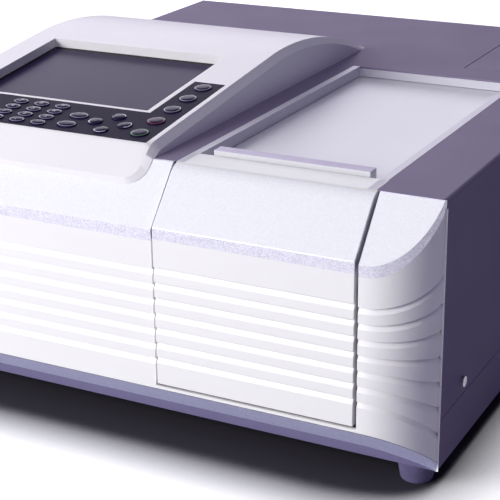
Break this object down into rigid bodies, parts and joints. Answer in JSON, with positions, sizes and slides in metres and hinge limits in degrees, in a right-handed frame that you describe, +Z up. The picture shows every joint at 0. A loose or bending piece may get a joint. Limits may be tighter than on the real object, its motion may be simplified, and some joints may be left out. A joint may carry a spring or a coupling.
{
  "type": "double beam spectrophotometer",
  "caption": "Bench spectrophotometer with a tilted display and keypad console, a sliding sample compartment lid, grooved rounded front, lamp cover and rear power inlet.",
  "frame": {"origin": "middle of the instrument's footprint, on the surface that its feet stand on", "axes": "+Z up, +Y to the rear panel, +X to the right as seen by the user at the front"},
  "size_m": [0.4744, 0.5604, 0.2471],
  "materials": {
    "dark_paint": "fine textured powder paint",
    "light_paint": "satin paint",
    "black_paint": "matt black paint",
    "front_plastic": "metallic lacquer on moulded plastic",
    "skirt_plastic": "matt lacquer",
    "light_plastic": "moulded",
    "console_plastic": "finely grained moulding",
    "overlay_film": "satin film",
    "key_plastic": "moulded keycap",
    "display_glass": "polished",
    "circuit_board": "solder mask",
    "cast_aluminium": "machined casting",
    "black_metal": "black anodised",
    "steel_parts": "zinc plated",
    "brass_parts": "machined",
    "motor_steel": "blackened steel",
    "module_metal": "plated sheet",
    "lamp_glass": "fused silica on a ceramic base",
    "mirror_face": "aluminised glass",
    "black_plastic": "moulded",
    "rocker_plastic": "moulded",
    "rubber": "matt"
  },
  "bodies": {
    "cabinet": {"base_pan": "dark_paint", "top_cover": "dark_paint", "rear_panel": "dark_paint", "lamp_access_cover": "dark_paint", "rubber_feet": "rubber", "front_fascia": "front_plastic", "lower_skirt": "skirt_plastic", "compartment_frame": "light_paint", "compartment_tub": "black_paint", "cell_holders": "black_metal", "console_housing": "console_plastic", "keypad_overlay": "overlay_film", "display_window": "display_glass", "display_module": "module_metal", "keypad_board": "circuit_board", "optical_bench": "cast_aluminium", "mirror_stands": "black_metal", "stepper_motors": "motor_steel", "lamp_house": "module_metal", "deuterium_lamp": "lamp_glass", "tungsten_lamp": "lamp_glass", "detector_modules": "black_metal", "power_supply": "module_metal", "main_board": "circuit_board", "fan_frame": "black_plastic", "power_inlet": "black_plastic", "cover_screws": "steel_parts"},
    "front_panel": {"compartment_front_panel": "front_plastic"},
    "lid": {"sliding_lid": "light_paint", "lid_handle": "light_plastic"},
    "grating": {"grating_turntable": "cast_aluminium"},
    "nut": {"drive_nut": "brass_parts"},
    "scan_screw": {"lead_screw": "steel_parts"},
    "filters": {"filter_wheel": "black_metal"},
    "source_mirror": {"lamp_mirror": "mirror_face"},
    "fan": {"fan_rotor": "black_plastic"},
    "rocker": {"power_rocker": "rocker_plastic"},
    "number_key_1_body": {"number_key_1": "key_plastic"},
    "number_key_2_body": {"number_key_2": "key_plastic"},
    "number_key_3_body": {"number_key_3": "key_plastic"},
    "number_key_4_body": {"number_key_4": "key_plastic"},
    "number_key_5_body": {"number_key_5": "key_plastic"},
    "number_key_6_body": {"number_key_6": "key_plastic"},
    "number_key_7_body": {"number_key_7": "key_plastic"},
    "number_key_8_body": {"number_key_8": "key_plastic"},
    "number_key_9_body": {"number_key_9": "key_plastic"},
    "number_key_10_body": {"number_key_10": "key_plastic"},
    "number_key_11_body": {"number_key_11": "key_plastic"},
    "number_key_12_body": {"number_key_12": "key_plastic"},
    "oval_key_1_body": {"oval_key_1": "key_plastic"},
    "oval_key_2_body": {"oval_key_2": "key_plastic"},
    "arrow_key_left_body": {"arrow_key_left": "key_plastic"},
    "arrow_key_right_body": {"arrow_key_right": "key_plastic"},
    "arrow_key_down_body": {"arrow_key_down": "key_plastic"},
    "arrow_key_up_body": {"arrow_key_up": "key_plastic"},
    "function_key_1_body": {"function_key_1": "key_plastic"},
    "function_key_2_body": {"function_key_2": "key_plastic"},
    "function_key_3_body": {"function_key_3": "key_plastic"},
    "function_key_4_body": {"function_key_4": "key_plastic"},
    "function_key_5_body": {"function_key_5": "key_plastic"}
  },
  "joints": [
    {"name": "lid_slide", "type": "slide", "parent": "cabinet", "child": "lid", "axis": [0, 1, 0], "range_m": [0, 0.195]},
    {"name": "front_panel_lift", "type": "slide", "parent": "cabinet", "child": "front_panel", "axis": [0, 0, 1], "range_m": [0, 0.025]},
    {"name": "scan_screw_turn", "type": "hinge", "parent": "cabinet", "child": "scan_screw", "pos_m": [-0.114, -0.0282, 0.058], "axis": [1, 0, 0], "range_deg": [-1256.41, 1256.41]},
    {"name": "nut_slide", "type": "slide", "parent": "cabinet", "child": "nut", "axis": [1, 0, 0], "range_m": [-0.01396, 0.01396]},
    {"name": "grating_turn", "type": "hinge", "parent": "cabinet", "child": "grating", "pos_m": [-0.15, -0.1222, 0.054], "axis": [0, 0, 1], "range_deg": [-10, 10]},
    {"name": "filter_wheel_turn", "type": "hinge", "parent": "cabinet", "child": "filters", "pos_m": [-0.11, 0.0428, 0.0955], "axis": [0, 1, 0], "continuous": true},
    {"name": "source_mirror_turn", "type": "hinge", "parent": "cabinet", "child": "source_mirror", "pos_m": [0.149, 0.1738, 0.064], "axis": [0, 0, 1], "range_deg": [-45, 45]},
    {"name": "fan_spin", "type": "hinge", "parent": "cabinet", "child": "fan", "pos_m": [-0.06, 0.2658, 0.128], "axis": [0, 1, 0], "continuous": true},
    {"name": "power_rocker_swing", "type": "hinge", "parent": "cabinet", "child": "rocker", "pos_m": [-0.185, 0.2744, 0.123], "axis": [1, 0, 0], "range_deg": [-16, 0]},
    {"name": "number_key_1_press", "type": "slide", "parent": "cabinet", "child": "number_key_1_body", "axis": [0, 0.1167, -0.9932], "range_m": [0, 0.0008], "stiffness_N_per_m": 250, "springref_m": -0.001},
    {"name": "number_key_2_press", "type": "slide", "parent": "cabinet", "child": "number_key_2_body", "axis": [0, 0.1167, -0.9932], "range_m": [0, 0.0008], "stiffness_N_per_m": 250, "springref_m": -0.001},
    {"name": "number_key_3_press", "type": "slide", "parent": "cabinet", "child": "number_key_3_body", "axis": [0, 0.1167, -0.9932], "range_m": [0, 0.0008], "stiffness_N_per_m": 250, "springref_m": -0.001},
    {"name": "number_key_4_press", "type": "slide", "parent": "cabinet", "child": "number_key_4_body", "axis": [0, 0.1167, -0.9932], "range_m": [0, 0.0008], "stiffness_N_per_m": 250, "springref_m": -0.001},
    {"name": "number_key_5_press", "type": "slide", "parent": "cabinet", "child": "number_key_5_body", "axis": [0, 0.1167, -0.9932], "range_m": [0, 0.0008], "stiffness_N_per_m": 250, "springref_m": -0.001},
    {"name": "number_key_6_press", "type": "slide", "parent": "cabinet", "child": "number_key_6_body", "axis": [0, 0.1167, -0.9932], "range_m": [0, 0.0008], "stiffness_N_per_m": 250, "springref_m": -0.001},
    {"name": "number_key_7_press", "type": "slide", "parent": "cabinet", "child": "number_key_7_body", "axis": [0, 0.1167, -0.9932], "range_m": [0, 0.0008], "stiffness_N_per_m": 250, "springref_m": -0.001},
    {"name": "number_key_8_press", "type": "slide", "parent": "cabinet", "child": "number_key_8_body", "axis": [0, 0.1167, -0.9932], "range_m": [0, 0.0008], "stiffness_N_per_m": 250, "springref_m": -0.001},
    {"name": "number_key_9_press", "type": "slide", "parent": "cabinet", "child": "number_key_9_body", "axis": [0, 0.1167, -0.9932], "range_m": [0, 0.0008], "stiffness_N_per_m": 250, "springref_m": -0.001},
    {"name": "number_key_10_press", "type": "slide", "parent": "cabinet", "child": "number_key_10_body", "axis": [0, 0.1167, -0.9932], "range_m": [0, 0.0008], "stiffness_N_per_m": 250, "springref_m": -0.001},
    {"name": "number_key_11_press", "type": "slide", "parent": "cabinet", "child": "number_key_11_body", "axis": [0, 0.1167, -0.9932], "range_m": [0, 0.0008], "stiffness_N_per_m": 250, "springref_m": -0.001},
    {"name": "number_key_12_press", "type": "slide", "parent": "cabinet", "child": "number_key_12_body", "axis": [0, 0.1167, -0.9932], "range_m": [0, 0.0008], "stiffness_N_per_m": 250, "springref_m": -0.001},
    {"name": "oval_key_1_press", "type": "slide", "parent": "cabinet", "child": "oval_key_1_body", "axis": [0, 0.1167, -0.9932], "range_m": [0, 0.0008], "stiffness_N_per_m": 250, "springref_m": -0.001},
    {"name": "oval_key_2_press", "type": "slide", "parent": "cabinet", "child": "oval_key_2_body", "axis": [0, 0.1167, -0.9932], "range_m": [0, 0.0008], "stiffness_N_per_m": 250, "springref_m": -0.001},
    {"name": "arrow_key_left_press", "type": "slide", "parent": "cabinet", "child": "arrow_key_left_body", "axis": [0, 0.1167, -0.9932], "range_m": [0, 0.0008], "stiffness_N_per_m": 250, "springref_m": -0.001},
    {"name": "arrow_key_right_press", "type": "slide", "parent": "cabinet", "child": "arrow_key_right_body", "axis": [0, 0.1167, -0.9932], "range_m": [0, 0.0008], "stiffness_N_per_m": 250, "springref_m": -0.001},
    {"name": "arrow_key_down_press", "type": "slide", "parent": "cabinet", "child": "arrow_key_down_body", "axis": [0, 0.1167, -0.9932], "range_m": [0, 0.0008], "stiffness_N_per_m": 250, "springref_m": -0.001},
    {"name": "arrow_key_up_press", "type": "slide", "parent": "cabinet", "child": "arrow_key_up_body", "axis": [0, 0.1167, -0.9932], "range_m": [0, 0.0008], "stiffness_N_per_m": 250, "springref_m": -0.001},
    {"name": "function_key_1_press", "type": "slide", "parent": "cabinet", "child": "function_key_1_body", "axis": [0, 0.1167, -0.9932], "range_m": [0, 0.0008], "stiffness_N_per_m": 250, "springref_m": -0.001},
    {"name": "function_key_2_press", "type": "slide", "parent": "cabinet", "child": "function_key_2_body", "axis": [0, 0.1167, -0.9932], "range_m": [0, 0.0008], "stiffness_N_per_m": 250, "springref_m": -0.001},
    {"name": "function_key_3_press", "type": "slide", "parent": "cabinet", "child": "function_key_3_body", "axis": [0, 0.1167, -0.9932], "range_m": [0, 0.0008], "stiffness_N_per_m": 250, "springref_m": -0.001},
    {"name": "function_key_4_press", "type": "slide", "parent": "cabinet", "child": "function_key_4_body", "axis": [0, 0.1167, -0.9932], "range_m": [0, 0.0008], "stiffness_N_per_m": 250, "springref_m": -0.001},
    {"name": "function_key_5_press", "type": "slide", "parent": "cabinet", "child": "function_key_5_body", "axis": [0, 0.1167, -0.9932], "range_m": [0, 0.0008], "stiffness_N_per_m": 250, "springref_m": -0.001}
  ],
  "couplings": [
    {"joint": "scan_screw_turn", "follows": "nut_slide", "rad_per_m": 1570.8},
    {"joint": "grating_turn", "follows": "nut_slide", "rad_per_m": -12.5}
  ]
}
